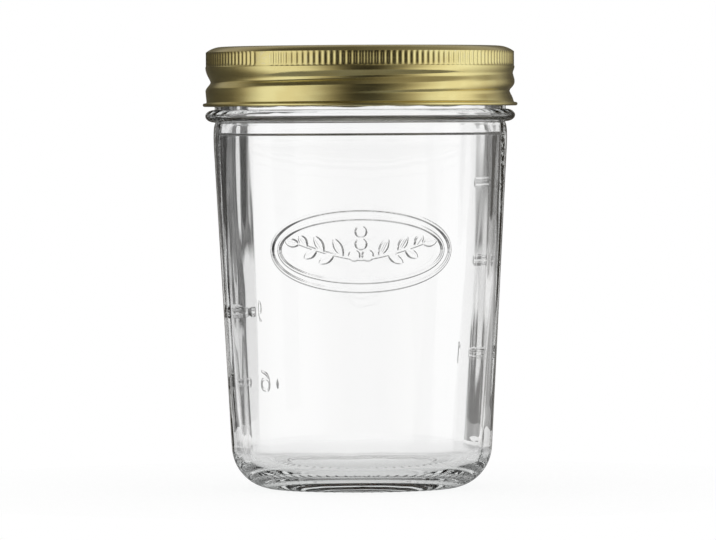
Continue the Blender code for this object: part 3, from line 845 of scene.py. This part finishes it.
WHITE = (1.0, 1.0, 1.0, 1.0)
FLOOR_RADIUS = 0.15
FLOOR_CORNERS = 96
FLOOR_SHADE_SHARE = 0.2  # of the floor's white that shadows can take away
# How the glass shows the floor: shaded under the jar, and dimmer close to it on both sides
SHADED_SPOT = (30 * MM, 55 * MM)  # radii between which the floor under the jar gets light
SPOT_GREY = 0.7
DIM_SIDES = (40 * MM, 60 * MM)  # places to each side between which it gets dimmer
DIM_REACH = (85 * MM, 125 * MM)  # radii between which that ends
SIDE_GREY = 0.4

# Greys round the studio, by the angle in degrees from the front, positive to the right
METAL_CARDS = [(-180, 0.1), (-160, 0.07), (-147, 0.055), (-126, 0.08), (-112, 0.12), (-100, 0.26),
               (-88, 0.6), (-77, 0.9), (-52, 0.9), (-40, 0.75), (-28, 0.42), (-14, 0.12),
               (-5, 0.03), (10, 0.02), (18, 0.06), (32, 0.22), (44, 0.5), (56, 0.85), (70, 1),
               (88, 1), (104, 0.8), (118, 0.6), (132, 0.35), (146, 0.14), (158, 0.08), (180, 0.1)]
# What the glass shows, in rows from the lowest to the highest
LOW_CARDS = [(-180, 1), (-174, 1), (-172, 0.04), (-154, 0.04), (-152, 1), (-118, 1), (-116, 0.04),
             (-98, 0.04), (-96, 1), (6, 1), (8, 0.04), (26, 0.04), (28, 1), (62, 1), (64, 0.04),
             (82, 0.04), (84, 1), (180, 1)]
LEVEL_CARDS = [(-180, 1), (-167.5, 1), (-166.5, 0.12), (-157, 0.2), (-150, 0.2), (-146, 1),
               (-134, 1), (-131, 0.1), (-108, 0.04), (-106, 1), (-74, 1), (-73, 0.5), (-56, 0.5),
               (-55, 1), (118, 1), (120, 0.05), (131, 0.1), (133, 1), (140, 1), (146, 0.4),
               (160, 0.3), (162, 0.15), (166.5, 0.18), (168.5, 1), (180, 1)]
MIDDLE_CARDS = [(-180, 1), (-168.5, 1), (-167.5, 0.12), (-164, 0.3), (-162, 0.12), (-150, 0.1),
                (-146, 0.6), (-134, 0.6), (-131, 0.08), (-108, 0.04), (-106, 1), (-74, 1),
                (-73, 0.5), (-56, 0.5), (-55, 1), (118, 1), (120, 0.05), (131, 0.1), (140, 0.6),
                (150, 0.3), (157, 0.2), (160, 1), (180, 1)]
HIGH_CARDS = [(-180, 1), (-169.5, 1), (-168.7, 0.12), (-167.6, 0.12), (-167, 0.34), (-166, 0.3),
              (-165.2, 0.05), (-108, 0.04), (-106, 1), (-74, 1), (-73, 0.5), (-56, 0.5), (-55, 1),
              (118, 1), (120, 0.05), (158, 0.05), (160, 0.12), (163, 0.22), (166, 0.28), (168, 0.6),
              (170.5, 1), (180, 1)]

# Heights in degrees between which a row gives way to what is over it
LEVEL_FROM, MIDDLE_FROM, HIGH_FROM = (-16, -10), (-3.2, -2.6), (-1.2, -0.4)
GLASS_CEILING_FROM, GLASS_CEILING_GREY = (8, 26), 0.12
METAL_CARDS_FROM = (-80, -45)
CEILING_FROM, CEILING_OVER_LIGHT = (32, 52), (32, 50)
CEILING_GREYS, GROUND_GREYS = (0.07, 0.3), (0.06, 0.2)  # on the left, and on the right
# How far a direction points to the right or the back, from nothing to all of that side's light
RIGHT_FROM, BACK_FROM = (-0.1, 0.5), (0.1, 0.5)
# A lid seen from above mirrors a soft light high behind it.
HIGH_LIGHT_FROM, HIGH_LIGHT_GREY = (14, 24), 0.34


def dim(grey):
    """A grey that gets browner as it darkens, as the shaded sides of a room are."""
    return (grey, grey * (0.9 + 0.1 * grey), grey * (0.72 + 0.28 * grey), 1.0)


def plain(grey):
    """A neutral grey."""
    return (grey, grey, grey, 1.0)


def studio_world():
    """White for the camera, and grey cards round the jar that the metal mirrors and the glass bends."""
    world = bpy.data.worlds.new("studio")
    bpy.context.scene.world = world
    world.use_nodes = True
    tree = world.node_tree
    tree.nodes.clear()
    place = add(tree, "ShaderNodeTexCoord")
    axes = add(tree, "ShaderNodeSeparateXYZ", inputs={0: place.outputs["Generated"]})
    front = add(tree, "ShaderNodeMath", {"operation": "MULTIPLY"}, {0: axes.outputs["Y"], 1: -1.0})
    round_z = add(tree, "ShaderNodeMath", {"operation": "ARCTAN2"}, {0: axes.outputs["X"], 1: front})
    way_round = add(tree, "ShaderNodeMapRange",
                    inputs={"Value": round_z, "From Min": -math.pi, "From Max": math.pi})
    rise = add(tree, "ShaderNodeMath", {"operation": "ARCSINE"}, {0: axes.outputs["Z"]})

    def above(heights):
        """A share that goes from 0 to 1 between two heights."""
        low, high = (math.radians(height) for height in heights)
        return add(tree, "ShaderNodeMapRange", SOFTLY, {"Value": rise, "From Min": low, "From Max": high})

    def cards(stops, tint):
        """A row of cards all round, from its angles and greys."""
        row = add(tree, "ShaderNodeValToRGB", inputs={0: way_round})
        elements = row.color_ramp.elements
        elements.remove(elements[-1])
        elements[0].position = (stops[0][0] + 180) / 360
        elements[0].color = tint(stops[0][1])
        for angle, grey in stops[1:]:
            elements.new((angle + 180) / 360).color = tint(grey)
        return row

    def layered(under, *layers):
        """Lays each colour by its share over what is under it."""
        for share, over in layers:
            under = add(tree, "ShaderNodeMix", COLOURS, {SHARE: share, UNDER: under, OVER: over})
        return under

    to_right = add(tree, "ShaderNodeMapRange", SOFTLY, {
        "Value": axes.outputs["X"], "From Min": RIGHT_FROM[0], "From Max": RIGHT_FROM[1]})
    to_back = add(tree, "ShaderNodeMapRange", SOFTLY, {
        "Value": axes.outputs["Y"], "From Min": BACK_FROM[0], "From Max": BACK_FROM[1]})
    ground = layered(dim(GROUND_GREYS[0]), (to_right, dim(GROUND_GREYS[1])))
    ceiling = layered(dim(CEILING_GREYS[0]), (to_right, dim(CEILING_GREYS[1])))
    high_light = add(tree, "ShaderNodeMath", {"operation": "MULTIPLY"},
                     {0: above(HIGH_LIGHT_FROM), 1: to_back})
    metal = layered(
        ground,
        (above(METAL_CARDS_FROM), cards(METAL_CARDS, dim)),
        (above(CEILING_FROM), ceiling),
        (high_light, dim(HIGH_LIGHT_GREY)),
        (above(CEILING_OVER_LIGHT), ceiling),
    )
    glass = layered(
        cards(LOW_CARDS, plain),
        (above(LEVEL_FROM), cards(LEVEL_CARDS, plain)),
        (above(MIDDLE_FROM), cards(MIDDLE_CARDS, plain)),
        (above(HIGH_FROM), cards(HIGH_CARDS, plain)),
        (above(GLASS_CEILING_FROM), plain(GLASS_CEILING_GREY)),
    )
    path = add(tree, "ShaderNodeLightPath")
    seen = layered(
        WHITE,
        (path.outputs["Is Glossy Ray"], metal),
        (path.outputs["Is Transmission Ray"], glass),
        (path.outputs["Is Camera Ray"], WHITE),
    )
    sky = add(tree, "ShaderNodeBackground", inputs={"Color": seen, "Strength": 1.0})
    add(tree, "ShaderNodeOutputWorld", inputs={"Surface": sky})


def studio_floor():
    """A plain white floor that keeps the jar's shadow."""
    bpy.ops.object.select_all(action="DESELECT")
    bpy.ops.mesh.primitive_circle_add(vertices=FLOOR_CORNERS, radius=FLOOR_RADIUS, fill_type="NGON")
    floor = bpy.context.object
    floor.name = "studio_floor"
    material, tree = blank_material("white_studio_floor")
    path = add(tree, "ShaderNodeLightPath")
    seen = add(tree, "ShaderNodeMath", {"operation": "MAXIMUM"},
               {0: path.outputs["Is Camera Ray"], 1: path.outputs["Is Transmission Ray"]})
    strength = add(tree, "ShaderNodeMath", {"operation": "MULTIPLY"}, {0: seen, 1: 1.0 - FLOOR_SHADE_SHARE})
    place = add(tree, "ShaderNodeTexCoord")
    axes = add(tree, "ShaderNodeSeparateXYZ", inputs={0: place.outputs["Object"]})
    away = add(tree, "ShaderNodeVectorMath", {"operation": "LENGTH"}, {0: place.outputs["Object"]})
    aside = add(tree, "ShaderNodeMath", {"operation": "ABSOLUTE"}, {0: axes.outputs["X"]})
    spot = add(tree, "ShaderNodeMapRange", SOFTLY, {
        "Value": away, "From Min": SHADED_SPOT[0], "From Max": SHADED_SPOT[1], "To Min": SPOT_GREY})
    close = add(tree, "ShaderNodeMapRange", SOFTLY, {
        "Value": aside, "From Min": DIM_SIDES[0], "From Max": DIM_SIDES[1],
        "To Min": 1.0, "To Max": SIDE_GREY})
    far = add(tree, "ShaderNodeMapRange", SOFTLY, {
        "Value": away, "From Min": DIM_REACH[0], "From Max": DIM_REACH[1]})
    sides = add(tree, "ShaderNodeMath", {"operation": "MAXIMUM"}, {0: close, 1: far})
    shaded = add(tree, "ShaderNodeMath", {"operation": "MULTIPLY"}, {0: spot, 1: sides})
    light = add(tree, "ShaderNodeMix", COLOURS,
                {SHARE: path.outputs["Is Transmission Ray"], UNDER: WHITE, OVER: shaded})
    matt = add(tree, "ShaderNodeBsdfDiffuse", inputs={"Color": plain(FLOOR_SHADE_SHARE)})
    glow = add(tree, "ShaderNodeEmission", inputs={"Color": light, "Strength": strength})
    both = add(tree, "ShaderNodeAddShader", inputs={0: matt, 1: glow})
    add(tree, "ShaderNodeOutputMaterial", inputs={"Surface": both})
    floor.data.materials.append(material)


CAMERA_DISTANCE = 1.842
CAMERA_HEIGHT = 0.105
CAMERA_ROLL = math.radians(-0.3)
AIM_HEIGHT = 0.0627
AIM_ASIDE = -0.86 * MM
LENS = 322
FARTHEST_SEEN = 20


def camera():
    """A long lens from a little over the middle of the jar, as the photograph was taken."""
    data = bpy.data.cameras.new("camera")
    data.lens = LENS
    data.clip_end = FARTHEST_SEEN
    cam = bpy.data.objects.new("camera", data)
    bpy.context.scene.collection.objects.link(cam)
    cam.location = (AIM_ASIDE, -CAMERA_DISTANCE, CAMERA_HEIGHT)
    facing = (Vector((AIM_ASIDE, 0.0, AIM_HEIGHT)) - cam.location).to_track_quat("-Z", "Y")
    cam.rotation_euler = (facing @ Quaternion((0.0, 0.0, 1.0), CAMERA_ROLL)).to_euler()
    bpy.context.scene.camera = cam


def place(piece, body, node, slot):
    """Lets a piece stand for its solid and move with its body."""
    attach(piece, body)
    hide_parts(node)


def main():
    """Dresses the frame's four solids, and sets up the studio."""
    bpy.context.scene.view_settings.view_transform = "Standard"
    # Light goes to and fro many times in the thick base before it leaves.
    bpy.context.scene.cycles.max_bounces = 32
    bpy.context.scene.cycles.glossy_bounces = 24
    bpy.context.scene.cycles.transmission_bounces = 32
    # The inner finish is tin darkened as painted shade for the shadow inside the lid and band.
    tin = bare_tinplate_with_painted_shade()
    place(glass_jar(soda_lime_glass()), "jar", "glass_jar", "clear_glass")
    place(lid_disc(gold_lacquered_lid_tinplate(), tin), "lid", "lid_disc", "lid_tinplate")
    place(sealing_ring(plastisol()), "lid", "sealing_ring", "sealing_compound")
    place(screw_band(gold_lacquered_band_tinplate(), tin), "band", "screw_band", "band_tinplate")
    studio_world()
    studio_floor()
    camera()


main()
